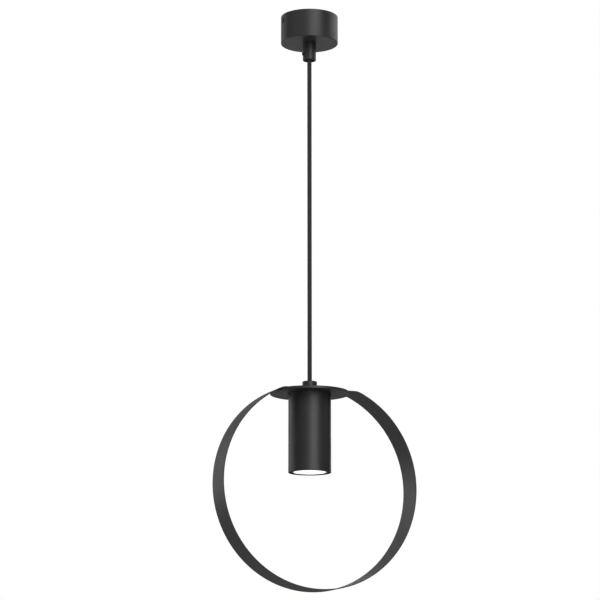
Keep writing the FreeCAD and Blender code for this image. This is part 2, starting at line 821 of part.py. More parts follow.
def lower_core(turn_degrees, side):
    """From the sheath's end down to a contact tail, bowed outwards between the two."""
    x, y = core_start(turn_degrees)
    end = holder_roof + contact_tail_length
    tail_y = side * pin_spacing / 2
    fall = low_sheath_end - end
    heights = [low_sheath_end - share * fall for share in core_bow_share]
    return tube_along([Vector(x, y, low_sheath_end),
                       Vector(x, y, heights[0]),
                       Vector(core_bow_out, tail_y + side * core_bow_out, heights[1]),
                       Vector(0, tail_y, heights[2]),
                       Vector(0, tail_y, end)], core_radius)


def lower_earth_core(turn_degrees):
    """Out of the sheath, round in a loop and up into the barrel of the lower earth tag."""
    x, y = core_start(turn_degrees)
    loop = low_sheath_end - earth_loop_drop
    return tube_along([Vector(x, y, low_sheath_end),
                       Vector(x, y, loop),
                       Vector(-low_tag_reach, 0, loop),
                       Vector(-low_tag_reach, 0, low_tag_floor - tag_barrel_length)],
                      core_radius)


# Lamp: a thick-walled shell with a bezel and lens in front and two headed pins behind
def lamp_shell():
    rim = lamp_face + bezel_depth
    rim_back = rim + lamp_rim_depth
    neck = lamp_back - lamp_base_height
    base = lamp_base_dia / 2
    edges = []
    cone_drop = neck - rim_back
    belly_share = (0.5, 0.62)
    belly = Vector(base + (lamp_radius - base) * belly_share[1], 0,
                   rim_back + cone_drop * belly_share[0])
    corners = [Vector(0, 0, rim), Vector(lamp_radius, 0, rim), Vector(lamp_radius, 0, rim_back),
               Vector(base, 0, neck), Vector(base, 0, lamp_back), Vector(0, 0, lamp_back)]
    edges.append(Part.LineSegment(corners[0], corners[1]).toShape())
    edges.append(Part.LineSegment(corners[1], corners[2]).toShape())
    edges.append(Part.Arc(corners[2], belly, corners[3]).toShape())
    edges.append(Part.LineSegment(corners[3], corners[4]).toShape())
    edges.append(Part.LineSegment(corners[4], corners[5]).toShape())
    edges.append(Part.LineSegment(corners[5], corners[0]).toShape())
    body = Part.Face(Part.Wire(edges)).revolve(Vector(0, 0, 0), UP, 360)
    body = body.makeFillet(lamp_base_round, circle_edges(body, base, lamp_back))
    front = cylinder(lamp_cavity_dia / 2, rim - cut_over, lamp_face + lamp_cavity_depth)
    driver = cylinder(driver_bore_dia / 2, rim, lamp_face + driver_bore_depth)
    return body.cut([front, driver])


def lamp_bezel():
    ring = pipe(lamp_radius, lens_dia / 2 + fit_gap, lamp_face, lamp_face + bezel_depth)
    return ring.makeFillet(bezel_round, circle_edges(ring, lamp_radius, lamp_face))


def lamp_lens():
    low = lamp_face + lens_recess
    return cylinder(lens_dia / 2, low, low + lens_thickness)


def lamp_led_board():
    seat = lamp_face + lamp_cavity_depth
    return cylinder(lamp_cavity_dia / 2 - fit_gap, seat - board_thickness, seat)


def lamp_driver_board():
    seat = lamp_face + lamp_cavity_depth
    return block(-driver_width / 2, driver_width / 2, -driver_thickness / 2,
                 driver_thickness / 2, seat, seat + driver_length)


def lamp_pin(side):
    angle = math.radians(pin_angle(side))
    x = pin_spacing / 2 * math.cos(angle)
    y = pin_spacing / 2 * math.sin(angle)
    shank = cylinder(pin_dia / 2, lamp_back, pin_tip, x, y)
    head = cylinder(pin_head_dia / 2, pin_tip - pin_head_height, pin_tip, x, y)
    return shank.fuse(head).removeSplitter()


def main():
    os.makedirs("parts", exist_ok=True)
    sides = (-1, 1)
    save("ceiling_bracket", ceiling_bracket())
    save("canopy_shell", canopy_shell())
    save("canopy_side_screws", *[side_screw(side) for side in sides])
    save("upper_nipple", pipe(nipple_radius, nipple_bore / 2, upper_nipple_low,
                              upper_nipple_top))
    save("upper_washer", pipe(washer_dia / 2, nipple_hole, inner_floor, upper_tag_low))
    save("upper_earth_tag", earth_tag(upper_tag_low, tag_reach, 0, upper_nut_low))
    save("upper_lock_nut", nut_at(upper_nut_low))
    save("upper_cord_grip", upper_cord_grip())
    save("upper_grip_screw", upper_grip_screw())
    save("terminal_block", terminal_block())
    save("terminal_sleeves", *[terminal_sleeve(place) for place in way_places])
    save("terminal_screws", *[terminal_screw(place, side)
                              for place in way_places for side in sides])
    save("terminal_fixing_screw", terminal_fixing_screw())
    save("upper_live_core", upper_core(upper_live_turn, 0, 1))
    save("upper_earth_core", upper_core(upper_earth_turn, 1, 0))
    save("upper_neutral_core", upper_core(upper_neutral_turn, 2, 1))
    save("upper_earth_link", upper_earth_link())
    save("cord_upper_tail", cord_upper_tail())
    save("cord_bend", cord_bend())
    save("cord_drop", cord_drop())
    save("cord_lower_tail", cord_lower_tail())
    save("lower_cord_grip", lower_cord_grip())
    save("lower_grip_screw", lower_grip_screw())
    save("lower_nipple", pipe(nipple_radius, nipple_bore / 2, low_nipple_floor,
                              low_thread_top - nipple_end_gap))
    save("ring_band", ring_band())
    save("hoop_spacer", pipe(spacer_dia / 2, nipple_hole, disc_top, spacer_top))
    save("disc_plate", disc_plate())
    save("tube_housing", tube_housing())
    save("lampholder_bracket", lampholder_bracket())
    save("lower_washer", pipe(washer_dia / 2, nipple_hole, low_washer_floor, strap_floor))
    save("lower_lock_nut", nut_at(low_nut_floor))
    save("lampholder_body", lampholder_body())
    save("lampholder_contacts", *[lampholder_contact(side) for side in sides])
    save("lampholder_screws", *[lampholder_screw(side) for side in sides])
    save("lower_live_core", lower_core(lower_live_turn, 1))
    save("lower_neutral_core", lower_core(lower_neutral_turn, -1))
    save("lower_earth_core", lower_earth_core(lower_earth_turn))
    save("lower_earth_tag", earth_tag(low_tag_floor, low_tag_reach, low_tag_turn,
                                      low_tag_floor - tag_barrel_length))
    save("centring_ring", centring_ring())
    save("lamp_shell", lamp_shell())
    save("lamp_bezel", lamp_bezel())
    save("lamp_lens", lamp_lens())
    save("lamp_led_board", lamp_led_board())
    save("lamp_driver_board", lamp_driver_board())
    save("lamp_pins", *[lamp_pin(side) for side in sides])


main()
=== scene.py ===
# %% [markdown]
# # A pendant light with a hoop
#
# The lamp hangs from the ceiling: a round canopy, a cloth-covered cord, and a slim tube with a
# twist-in reflector lamp inside a flat-topped steel hoop. The CAD model gives every size and
# place. This file builds the surfaces that are seen, gives each a finish, and lights them.
# Lengths are written in millimetres and turned into metres where a mesh is made.

import json
import math
from functools import partial

import bmesh
import bpy
import numpy as np
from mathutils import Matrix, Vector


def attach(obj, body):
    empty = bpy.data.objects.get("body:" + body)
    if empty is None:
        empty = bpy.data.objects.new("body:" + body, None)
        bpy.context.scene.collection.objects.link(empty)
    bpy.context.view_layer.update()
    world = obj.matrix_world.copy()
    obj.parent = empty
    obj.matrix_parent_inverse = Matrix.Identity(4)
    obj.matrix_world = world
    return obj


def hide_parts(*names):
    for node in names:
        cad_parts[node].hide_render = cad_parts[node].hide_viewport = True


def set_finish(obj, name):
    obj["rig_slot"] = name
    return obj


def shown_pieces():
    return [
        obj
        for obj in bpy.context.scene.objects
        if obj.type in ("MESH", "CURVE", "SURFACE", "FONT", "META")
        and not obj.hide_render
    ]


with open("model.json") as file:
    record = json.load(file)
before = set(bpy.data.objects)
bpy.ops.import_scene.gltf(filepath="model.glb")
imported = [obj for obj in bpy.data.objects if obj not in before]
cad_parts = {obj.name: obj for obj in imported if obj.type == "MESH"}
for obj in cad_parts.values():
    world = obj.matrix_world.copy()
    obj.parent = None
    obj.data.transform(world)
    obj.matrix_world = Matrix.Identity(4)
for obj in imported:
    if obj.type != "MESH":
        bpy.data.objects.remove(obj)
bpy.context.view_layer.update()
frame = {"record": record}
MM = 0.001

# %% [markdown]
# ## Camera
#
# The camera stands below the lamp, in front and to its left, and looks up a little, so that the
# undersides of canopy and disc show and the hoop is seen off square. A long lens from far away
# keeps the upright lines almost parallel. The place comes from fitting the edges of the canopy,
# disc, tube and hoop, and the camera is aimed so that the lens needs no shift.

# %% Camera
camera_place = (-1.3333, -3.1451, -1.1344)
camera_tilt = math.radians(101.825)
camera_turn = math.radians(-22.745)
camera_data = bpy.data.cameras.new("camera")
camera_data.lens = 147.61
camera_data.sensor_width = 36.0
camera_data.clip_end = 50.0
camera = bpy.data.objects.new("camera", camera_data)
camera.location = camera_place
camera.rotation_euler = (camera_tilt, 0.0, camera_turn)
bpy.context.scene.collection.objects.link(camera)
bpy.context.scene.camera = camera

# %% [markdown]
# ## Cord
#
# The cord is a straight round flex with a braided cotton cover. Its own weight is small against
# that of the lamp, so it hangs plumb from the mouth of the upper grip to the top of the lower
# one, and the photograph shows all of it. It is a smooth spline with a round bevel. The short
# ends inside the two grips belong to the bodies that clamp them, and a ball of the same cloth
# lies in the grip's mouth, where the cord bends when the lamp swings.


# %% Cord
def soft_curve(name, points, diameter):
    """Round flex along a quadratic spline: each of its points is a weighted mean of three
    neighbouring control points, so it rounds every corner of the route. The flex is as thick
    as the bevel times the points' own radius, and that radius also widens the curve's box, so
    the bevel is in millimetres and the radius turns it into metres."""
    curve = bpy.data.curves.new(name, "CURVE")
    curve.dimensions = "3D"
    curve.bevel_depth = diameter / 2
    curve.bevel_resolution = 8
    curve.use_fill_caps = True
    curve.resolution_u = 12
    spline = curve.splines.new("NURBS")
    spline.points.add(len(points) - 1)
    spline.points.foreach_set("co", np.array([(*p, 1 / MM) for p in points]).ravel() * MM)
    spline.points.foreach_set("radius", np.full(len(points), MM))
    spline.order_u = 3
    spline.use_endpoint_u = True
    piece = bpy.data.objects.new(name, curve)
    bpy.context.scene.collection.objects.link(piece)
    return piece


cord_dia = 6.0
cord_top, cord_foot = -62.35, -541.0
cord_straight = 6 * cord_dia
grip_mouth = -65.0
hanging_cord = soft_curve("hanging_cord", [
    (0, 0, cord_top), (0, 0, cord_top - cord_straight),
    (0, 0, cord_foot + cord_straight), (0, 0, cord_foot)], cord_dia)
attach(hanging_cord, "cord")
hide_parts("cord_drop")
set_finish(hanging_cord, "black_braid")

for name, node, body, top, foot in (
        ("cord_end_in_canopy", "cord_upper_tail", "canopy", -28.8, -60.65),
        ("cord_end_in_tube", "cord_lower_tail", "pendant", -541.05, -568.5)):
    end = soft_curve(name, [(0, 0, top), (0, 0, (top + foot) / 2), (0, 0, foot)], cord_dia)
    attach(end, body)
    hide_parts(node)
    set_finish(end, "black_braid")
print("cord hangs", round(cord_top - cord_foot, 1), "mm from its pivot to the lower grip")

# %% [markdown]
# ## From formulas to meshes
#
# Most of this lamp is turned or bent, so its surfaces are grids of points: one parameter runs
# along a profile and the other round the axis or along the strip. A few helpers turn such grids
# into meshes. Sharp drawn corners never exist on a coated part, so a profile is given as
# corners with a rounding each. A guard point on both sides of a rounding keeps the smooth
# shading on the rounding, so the flats beside it look flat.


# %% Rounded outlines, turned surfaces and shells
guard_share, merge_distance = 0.4, 0.002


def eased(corners, steps=5):
    """Closed outline through (across, up, rounding) corners. Each corner gives way to the arc
    that touches both its sides: the arc's centre lies on the line that halves the corner, at
    the rounding divided by the sine of half the corner's angle."""
    corners = np.array(corners, float)
    place, ease = corners[:, :2], corners[:, 2:]
    back = np.roll(place, 1, axis=0) - place
    ahead = np.roll(place, -1, axis=0) - place
    back /= np.linalg.norm(back, axis=1, keepdims=True)
    ahead /= np.linalg.norm(ahead, axis=1, keepdims=True)
    half = np.arccos(np.clip((back * ahead).sum(1, keepdims=True), -1, 1)) / 2
    reach = ease / np.tan(half)
    middle = back + ahead
    middle /= np.maximum(np.linalg.norm(middle, axis=1, keepdims=True), 1e-9)
    centre = place + middle * ease / np.sin(half)
    first = (place + back * reach - centre)[:, None]
    last = (place + ahead * reach - centre)[:, None]
    sweep = np.maximum(math.pi - 2 * half, 1e-6)[:, None]
    share = np.linspace(0, 1, steps + 1)[None, :, None]
    arc = centre[:, None] + (np.sin((1 - share) * sweep) * first
                             + np.sin(share * sweep) * last) / np.sin(sweep)
    guard = guard_share * ease
    before = (place + back * (reach + guard))[:, None]
    after = (place + ahead * (reach + guard))[:, None]
    return np.concatenate([before, arc, after], axis=1).reshape(-1, 2)


def turned(outline, steps):
    """Surface of revolution: the outline's first number is the distance from the axis, its
    second the height, and the angle runs once round."""
    outline = np.asarray(outline, float)
    angle = np.linspace(0, 2 * math.pi, steps, endpoint=False)
    radius, height = outline[:, :1], outline[:, 1:]
    return np.stack([radius * np.cos(angle), radius * np.sin(angle),
                     height + 0 * angle], axis=-1)


def closed(rows):
    """The same rows with the first one once more at the end."""
    return np.concatenate([rows, rows[:1]])


def grid_faces(rows, columns, wraps, start):
    """Quads of a grid: each point with its neighbours to the right, above and above right."""
    index = start + np.arange(rows * columns).reshape(rows, columns)
    if wraps:
        index = np.hstack([index, index[:, :1]])
    return np.stack([index[:-1, :-1], index[:-1, 1:], index[1:, 1:], index[1:, :-1]],
                    axis=-1).reshape(-1, 4)


def shell(name, grids):
    """One closed mesh out of grids of points in millimetres, given as (points, wraps) pairs.
    Points that coincide are merged, which closes poles and the seams between grids."""
    points, faces, start = [], [], 0
    for grid, wraps in grids:
        rows, columns = grid.shape[:2]
        points.append(grid.reshape(-1, 3))
        faces.append(grid_faces(rows, columns, wraps, start))
        start += rows * columns
    mesh = bpy.data.meshes.new(name)
    mesh.from_pydata(np.concatenate(points) * MM, [], np.concatenate(faces))
    work = bmesh.new()
    work.from_mesh(mesh)
    bmesh.ops.remove_doubles(work, verts=work.verts, dist=merge_distance * MM)
    bmesh.ops.recalc_face_normals(work, faces=work.faces)
    open_edges = sum(not edge.is_manifold for edge in work.edges)
    volume = work.calc_volume(signed=True) / MM ** 3
    work.to_mesh(mesh)
    work.free()
    mesh.shade_smooth()
    piece = bpy.data.objects.new(name, mesh)
    bpy.context.scene.collection.objects.link(piece)
    print(f"{name}: {len(mesh.polygons)} faces, {open_edges} open edges, {volume:.0f} mm3")
    return piece


def ring(name, corners, steps):
    """Closed turned piece whose outline doesn't touch the axis."""
    return shell(name, [(turned(closed(eased(corners)), steps), True)])


def settle(piece, body, slot, *replaced):
    """Let a piece ride on its body, take its slot's finish and stand for its CAD nodes."""
    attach(piece, body)
    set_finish(piece, slot)
    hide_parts(*replaced)
    return piece


# %% [markdown]
# ## Canopy
#
# The canopy is a spun steel cup, 82 mm across and 40 mm high, open to the ceiling. Two small
# screws in its side hold it to the bracket, each in a round hole. A round hole in a round wall
# doesn't fit a grid of angle and height, so the square of cells round each hole is left out and
# filled with rings that go over from the square to the circle. The hole's edge is rounded, as
# powder leaves it.

# %% A round wall with round holes
canopy_steps = 288
hole_cells = 6


def on_wall(radius, across, height):
    """Point of an upright round wall at a distance across it and a height: its third number
    comes from the circle, as the root of the radius squared less the distance squared."""
    return np.stack([np.sqrt(radius ** 2 - across ** 2), across, height + 0 * across], axis=-1)


def hole_square(steps, cells, cell_height):
    """Where the left-out square's edge points lie: their angles and heights, once round."""
    run = np.arange(-cells, cells)
    edge = np.full(2 * cells, cells)
    column = np.concatenate([run, edge, -run, -edge])
    row = np.concatenate([-edge, run, edge, -run])
    return column * 2 * math.pi / steps, row * cell_height


def turn_about_z(points, degrees):
    """The points turned about the upright axis."""
    c, s = math.cos(math.radians(degrees)), math.sin(math.radians(degrees))
    return points @ np.array([[c, s, 0], [-s, c, 0], [0, 0, 1]])


def hole_patch(radius, guide_radius, steps, cells, cell_height, hole, height):
    """Rings from a hole's circle to the square round it. A point of a ring is a mix of a point
    of the circle and the point of the square in the same direction."""
    angle, rise = hole_square(steps, cells, cell_height)
    toward = np.arctan2(rise, guide_radius * np.sin(angle))
    share = np.array([0, 0.07, 0.35, 0.65, 1.0])[:, None]
    across = (1 - share) * hole * np.cos(toward) + share * radius * np.sin(angle)
    up = (1 - share) * hole * np.sin(toward) + share * rise
    return on_wall(radius, across, up + height)


def hole_lip(outer, inner, steps, cells, cell_height, hole, ease, height):
    """The hole's rounded lip, a quarter circle in section, and its straight bore."""
    angle, rise = hole_square(steps, cells, cell_height)
    toward = np.arctan2(rise, outer * np.sin(angle))
    bend = np.linspace(0, math.pi / 2, 5)[:, None]
    widths = hole + ease * (1 - np.sin(bend))
    sink = ease * (1 - np.cos(bend))
    lip = on_wall(outer, widths * np.cos(toward), widths * np.sin(toward) + height)
    lip[..., 0] -= sink
    end = on_wall(inner, hole * np.cos(toward), hole * np.sin(toward) + height)
    return np.concatenate([lip, end[None]])


def holed_band(outer, inner, steps, cells, cell_height, hole, ease, height, turns):
    """Grids of a wall's band, both faces, with a hole at each of these angles."""
    rows = np.arange(-cells, cells + 1)[:, None] * cell_height + height
    grids = []
    pitch = steps // len(turns)
    for turn in turns:
        column = np.arange(cells, pitch - cells + 1) * 2 * math.pi / steps
        for radius in (outer, inner):
            wall = np.stack([radius * np.cos(column) + 0 * rows,
                             radius * np.sin(column) + 0 * rows,
                             rows + 0 * column], axis=-1)
            grids.append((turn_about_z(wall, turn), False))
        spec = (steps, cells, cell_height)
        for patch in (hole_patch(outer, outer, *spec, hole + ease, height),
                      hole_patch(inner, outer, *spec, hole, height),
                      hole_lip(outer, inner, *spec, hole, ease, height)):
            grids.append((turn_about_z(patch, turn), True))
    return grids


# %% Canopy
canopy_radius, canopy_bore = 41.1, 39.9
canopy_floor, canopy_inside = -40.0, -38.8
nipple_hole = 5.2
side_hole, side_hole_ease, side_screw_height = 3.7, 0.25, -10.0
canopy_cell = 0.9
band_low = side_screw_height - hole_cells * canopy_cell
band_high = side_screw_height + hole_cells * canopy_cell
cup_outline = eased([(canopy_bore, band_low, 0), (canopy_bore, canopy_inside, 0.4),
                     (nipple_hole, canopy_inside, 0.15), (nipple_hole, canopy_floor, 0.15),
                     (canopy_radius, canopy_floor, 0.8), (canopy_radius, band_low, 0)])
rim_outline = eased([(canopy_radius, band_high, 0), (canopy_radius, 0, 0.25),
                     (canopy_bore, 0, 0.25), (canopy_bore, band_high, 0)])
canopy = shell("canopy_cup", [
    (turned(cup_outline, canopy_steps), True), (turned(rim_outline, canopy_steps), True),
    *holed_band(canopy_radius, canopy_bore, canopy_steps, hole_cells, canopy_cell,
                side_hole, side_hole_ease, side_screw_height, (0, 180))])
settle(canopy, "canopy", "black_powder_coat", "canopy_shell")

# %% [markdown]
# ## Screws
#
# The screws that show are all socket screws: a round head with a hexagonal hole for a key. Seen
# from its end, such a screw is a set of loops about its axis. Most loops are circles and those
# of the socket are hexagons, whose distance from the axis is half the width across the flats
# divided by the cosine of the angle from the nearest flat's middle.


# %% Socket screws
def socket_screw(origin, out, loops, steps=72):
    """Closed screw about an axis. A loop is (radius, hexagon share, distance along the axis),
    and its radius mixes a circle and a hexagon by that share."""
    angle = np.linspace(0, 2 * math.pi, steps, endpoint=False)
    from_flat = np.mod(angle, math.pi / 3) - math.pi / 6
    loops = np.array(loops, float)
    reach = loops[:, :1] * (1 - loops[:, 1:2] + loops[:, 1:2] / np.cos(from_flat))
    out = np.array(out, float)
    side = np.cross(out, (0.0, 0.0, 1.0))
    up = np.cross(side, out)
    return (np.array(origin, float) + (reach * np.cos(angle))[..., None] * side
            + (reach * np.sin(angle))[..., None] * up + loops[:, 2:, None] * out)


def head_loops(head, shank, length, key, depth, ease):
    """Loops from the shank's tip to the socket's floor. Lengths run outwards from the seat, and
    the shank is given as its radius and its tip."""
    radius, tip = shank
    if head > radius:
        neck = [(radius, 0, -ease), (radius, 0, 0), (head - ease, 0, 0), (head, 0, ease)]
    else:
        neck = []
    bend = np.linspace(0, math.pi / 2, 5)
    round_over = [(head - ease * (1 - math.cos(a)), 0, length - ease * (1 - math.sin(a)))
                  for a in bend]
    half = key / 2
    return [(0, 0, tip), (radius - ease, 0, tip), (radius, 0, tip + ease), *neck,
            (head, 0, length - 1.5 * ease), *round_over, (head - 1.5 * ease, 0, length),
            (half + 0.5 * ease, 1, length), (half + 0.3 * ease, 1, length),
            (half, 1, length - 0.4 * ease), (half, 1, length - depth + 0.05),
            (half - 0.08, 1, length - depth), (0, 1, length - depth - 0.25)]


side_face, side_seat = 40.7, 38.47
side_loops = head_loops(head=3.3, shank=(2.0, -7.0), length=side_face - side_seat, key=3.0,
                        depth=1.2, ease=0.25)
side_screws = shell("side_screws", [
    (socket_screw((side * side_seat, 0, side_screw_height), (side, 0, 0), side_loops), True)
    for side in (-1, 1)])
settle(side_screws, "canopy", "blackened_steel", "canopy_side_screws")

grip_radius, grip_screw_rise = 9.45, 9.0
grip_loops = head_loops(head=2.25, shank=(1.5, -6.2), length=1.3, key=1.5, depth=0.8, ease=0.2)
grip_screw = shell("upper_clamp_screw", [
    (socket_screw((-grip_radius, 0, grip_mouth + grip_screw_rise), (-1, 0, 0), grip_loops),
     True)])
settle(grip_screw, "canopy", "blackened_steel", "upper_grip_screw")

low_screw_height, low_screw_face = -542.85, 9.8
low_loops = head_loops(head=1.5, shank=(1.5, -6.5), length=0.0, key=1.5, depth=0.8, ease=0.15)
low_screw = shell("lower_clamp_screw", [
    (socket_screw((0, low_screw_face, low_screw_height), (0, 1, 0), low_loops), True)])
settle(low_screw, "pendant", "blackened_steel", "lower_grip_screw")

# %% [markdown]
# ## Cord grips
#
# Both grips are turned from bar. The upper one is a sleeve with a recess in its end, which looks
# black from below, and above the recess the hole flares, so that the cord bends over a slope
# and not over an edge. The lower one is a short knuckle, and its clamp screw sits in a hole on
# the side turned away.

# %% Cord grips
cord_bore, thread_bore = 3.3, 5.05
recess_radius, recess_top, flare_radius, flare_top = 7.4, -62.0, 4.09, -60.65
thread_end = -50.0
upper_grip = ring("upper_cord_sleeve", [
    (grip_radius, canopy_floor, 0.1), (grip_radius, grip_mouth, 0.5),
    (recess_radius, grip_mouth, 0.35), (recess_radius, recess_top, 0.3),
    (flare_radius, recess_top, 0.15), (cord_bore, flare_top, 0.3), (cord_bore, thread_end, 0.1),
    (thread_bore, thread_end, 0.1), (thread_bore, canopy_floor, 0.1)], 160)
settle(upper_grip, "canopy", "black_powder_coat", "upper_cord_grip")

low_grip_radius, low_grip_top, hoop_top = 10.3, -536.9, -549.4
low_grip_steps, low_cells, low_cell = 144, 4, 0.45
low_hole, low_hole_ease = 1.55, 0.15
low_band = (low_screw_height - low_cells * low_cell, low_screw_height + low_cells * low_cell)
low_thread_top = -544.7
shoulder = eased([(low_grip_radius, low_band[1], 0), (low_grip_radius, low_grip_top, 0.7),
                  (cord_bore, low_grip_top, 0.4), (cord_bore, low_band[1], 0)], steps=8)
foot = eased([(cord_bore, low_band[0], 0), (cord_bore, low_thread_top, 0.02),
              (thread_bore, low_thread_top, 0.1), (thread_bore, hoop_top, 0.1),
              (low_grip_radius, hoop_top, 0.3), (low_grip_radius, low_band[0], 0)])
lower_grip = shell("lower_cord_knuckle", [
    (turned(shoulder, low_grip_steps), True), (turned(foot, low_grip_steps), True),
    *holed_band(low_grip_radius, cord_bore, low_grip_steps, low_cells, low_cell,
                low_hole, low_hole_ease, low_screw_height, (90,))])
settle(lower_grip, "pendant", "black_powder_coat", "lower_cord_grip")

# %% [markdown]
# ## Hoop
#
# The hoop is one strip of steel, 41.5 mm wide and 1.1 mm thick, rolled to a circle and folded
# flat where it is clamped. The path of its outer face has four spans: the flat, a wide bend,
# the long arc and a second bend. The strip's rounded section is carried along that path, with
# its thickness measured inwards along the path's own normal.

# %% Hoop
hoop_radius, hoop_rise, hoop_bend = 146.2, 134.95, 22.0
hoop_width, hoop_thickness, hoop_ease = 41.5, 1.1, 0.3
hoop_middle, hoop_centre = 8.9, -684.35
bend_rise = hoop_rise - hoop_bend
bend_reach = math.sqrt((hoop_radius - hoop_bend) ** 2 - bend_rise ** 2)
flat_steps, bend_steps, arc_steps = 24, 14, 420


def hoop_path():
    """Places and outward normals of the strip's outer face, once round. On each span a place
    is that span's centre plus its radius times the normal."""
    corner = math.atan2(bend_rise, bend_reach)
    steps = (flat_steps, bend_steps, arc_steps, bend_steps)
    across = np.repeat([0, bend_reach, 0, -bend_reach], steps)
    across[:flat_steps] = np.linspace(-bend_reach, bend_reach, flat_steps, endpoint=False)
    up = np.repeat([bend_rise, bend_rise, 0, bend_rise], steps)
    radius = np.repeat([hoop_bend, hoop_bend, hoop_radius, hoop_bend], steps)
    ends = ((math.pi / 2, math.pi / 2), (math.pi / 2, corner),
            (corner, corner - math.pi - 2 * corner), (math.pi - corner, math.pi / 2))
    angle = np.concatenate([np.linspace(*span, count, endpoint=False)
                            for span, count in zip(ends, steps)])
    normal = np.stack([np.cos(angle), 0 * angle, np.sin(angle)], axis=-1)
    centre = np.stack([hoop_middle + across, 0 * across, hoop_centre + up], axis=-1)
    return centre + radius[:, None] * normal, normal


place, normal = hoop_path()
section = eased([(side * hoop_width / 2, depth, hoop_ease) for side, depth in (
    (-1, 0), (1, 0), (1, hoop_thickness), (-1, hoop_thickness))])
strip = (place[None] - section[:, None, 1:] * normal[None]
         + section[:, None, :1] * np.array((0.0, 1.0, 0.0)))
hoop = shell("hoop_strip", [(closed(strip), True)])
settle(hoop, "pendant", "black_powder_coat", "ring_band")

# %% [markdown]
# ## Disc and tube
#
# The disc is a turned plate, 111 mm across. The hoop's left side comes down just inside its
# edge, so the plate is eased there: where the strip passes, the upper face is lowered to the
# strip's inner face, which is first the bend's circle and then the long arc's. The tube is a
# closed outline turned once, with wall, top and the groove that holds the lamp's ring, so its
# inside is there when the lamp is drawn out.

# %% Disc
disc_radius, disc_top, disc_floor = 55.7, -551.5, -555.0
strip_gap, side_gap, ramp_width, ramp_height = 0.15, 0.2, 0.8, 4
fine_low, fine_high, fine_rings = 44.0, 53.4, 19
face_points = [(r, disc_top, 0) for r in np.linspace(fine_low, fine_high, fine_rings)]
disc_outline = eased([(nipple_hole, disc_floor, 0.1), (disc_radius, disc_floor, 0.3),
                      (disc_radius, disc_top, 0.5), *reversed(face_points),
                      (nipple_hole, disc_top, 0.1)])
disc_grid = turned(closed(disc_outline), 320)
below_strip = hoop_thickness + strip_gap
from_middle = disc_grid[..., 0] - hoop_middle
along_arc = np.sqrt((hoop_radius - below_strip) ** 2 - from_middle ** 2)
on_bend = np.clip(from_middle + bend_reach, below_strip - hoop_bend, 0)
along_bend = bend_rise + np.sqrt((hoop_bend - below_strip) ** 2 - on_bend ** 2)
past_bend = from_middle < -bend_reach * (hoop_radius - below_strip) / (hoop_radius - hoop_bend)
under_strip = hoop_centre + np.where(past_bend, along_arc, along_bend)
beside_strip = np.abs(disc_grid[..., 1]) - hoop_width / 2 - side_gap
ramp = ramp_height * np.clip(beside_strip / ramp_width, 0, 1)
eased_top = np.where(disc_grid[..., 0] < -bend_reach + hoop_middle, under_strip + ramp, disc_top)
disc_grid[..., 2] = np.minimum(disc_grid[..., 2], eased_top)
disc = shell("disc_plate_turned", [(disc_grid, True)])
settle(disc, "pendant", "black_powder_coat", "disc_plate")

# %% Tube
tube_radius, tube_bore, tube_mouth, tube_inside = 30.0, 28.5, -665.8, -557.0
groove_radius, groove_low, groove_high = 29.0, -663.7, -661.7
tube = ring("tube_spun", [
    (tube_radius, tube_mouth, 0.25), (tube_radius, disc_floor, 0.2),
    (nipple_hole, disc_floor, 0.1), (nipple_hole, tube_inside, 0.1),
    (tube_bore, tube_inside, 0.5), (tube_bore, groove_high, 0.05),
    (groove_radius, groove_high, 0.05), (groove_radius, groove_low, 0.05),
    (tube_bore, groove_low, 0.05), (tube_bore, tube_mouth, 0.25)], 256)
settle(tube, "pendant", "black_powder_coat", "tube_housing")

# %% [markdown]
# ## Lamp and its ring
#
# The lamp is the common 50 mm reflector shape with two headed pins. From below only its grey
# rim and frosted lens show, inside a black ring that fills the gap to the tube. Drawn out, it
# shows a white body with cooling flutes: on the cone the radius is lowered by a cosine wave
# round the axis, and the wave fades out at both ends of the cone.

# %% Black ring, rim and lens
ring_bore, ring_radius, bead_radius = 25.3, 28.3, 28.8
ring_floor, bead_low, bead_high, ring_top = -665.5, -663.5, -661.9, -660.5
centring = ring("centring_ring_soft", [
    (ring_bore, ring_floor, 0.3), (ring_radius, ring_floor, 0.3), (ring_radius, bead_low, 0.1),
    (bead_radius, bead_low, 0.15), (bead_radius, bead_high, 0.15), (ring_radius, bead_high, 0.1),
    (ring_radius, ring_top, 0.15), (ring_bore, ring_top, 0.15)], 224)
settle(centring, "lamp_collar", "black_silicone", "centring_ring")

lamp_face, lamp_rim = -665.5, -663.0
lamp_radius, bezel_bore = 25.0, 22.95
bezel = ring("lamp_rim_ring", [(bezel_bore, lamp_face, 0.3), (lamp_radius, lamp_face, 0.7),
                               (lamp_radius, lamp_rim, 0.1), (bezel_bore, lamp_rim, 0.1)], 224)
settle(bezel, "lamp", "lamp_grey_bezel", "lamp_bezel")

lens_radius, lens_face = 22.8, -665.3
dome_radius, dome_depth, lip_radius = 21.2, 0.35, 21.6
dome = np.linspace(0, 1, 12)
lens_dome = np.stack([dome_radius * dome, lens_face + dome_depth * dome ** 4], axis=-1)
lens_edge = eased([(dome_radius, lens_face + dome_depth, 0), (lip_radius, lens_face, 0.1),
                   (lens_radius, lens_face, 0.15), (lens_radius, lamp_rim, 0.1),
                   (0.0, lamp_rim, 0)])
lens = shell("lamp_lens_frosted", [(turned(np.concatenate([lens_dome, lens_edge]), 192), True)])
settle(lens, "lamp", "lit_lens", "lamp_lens")

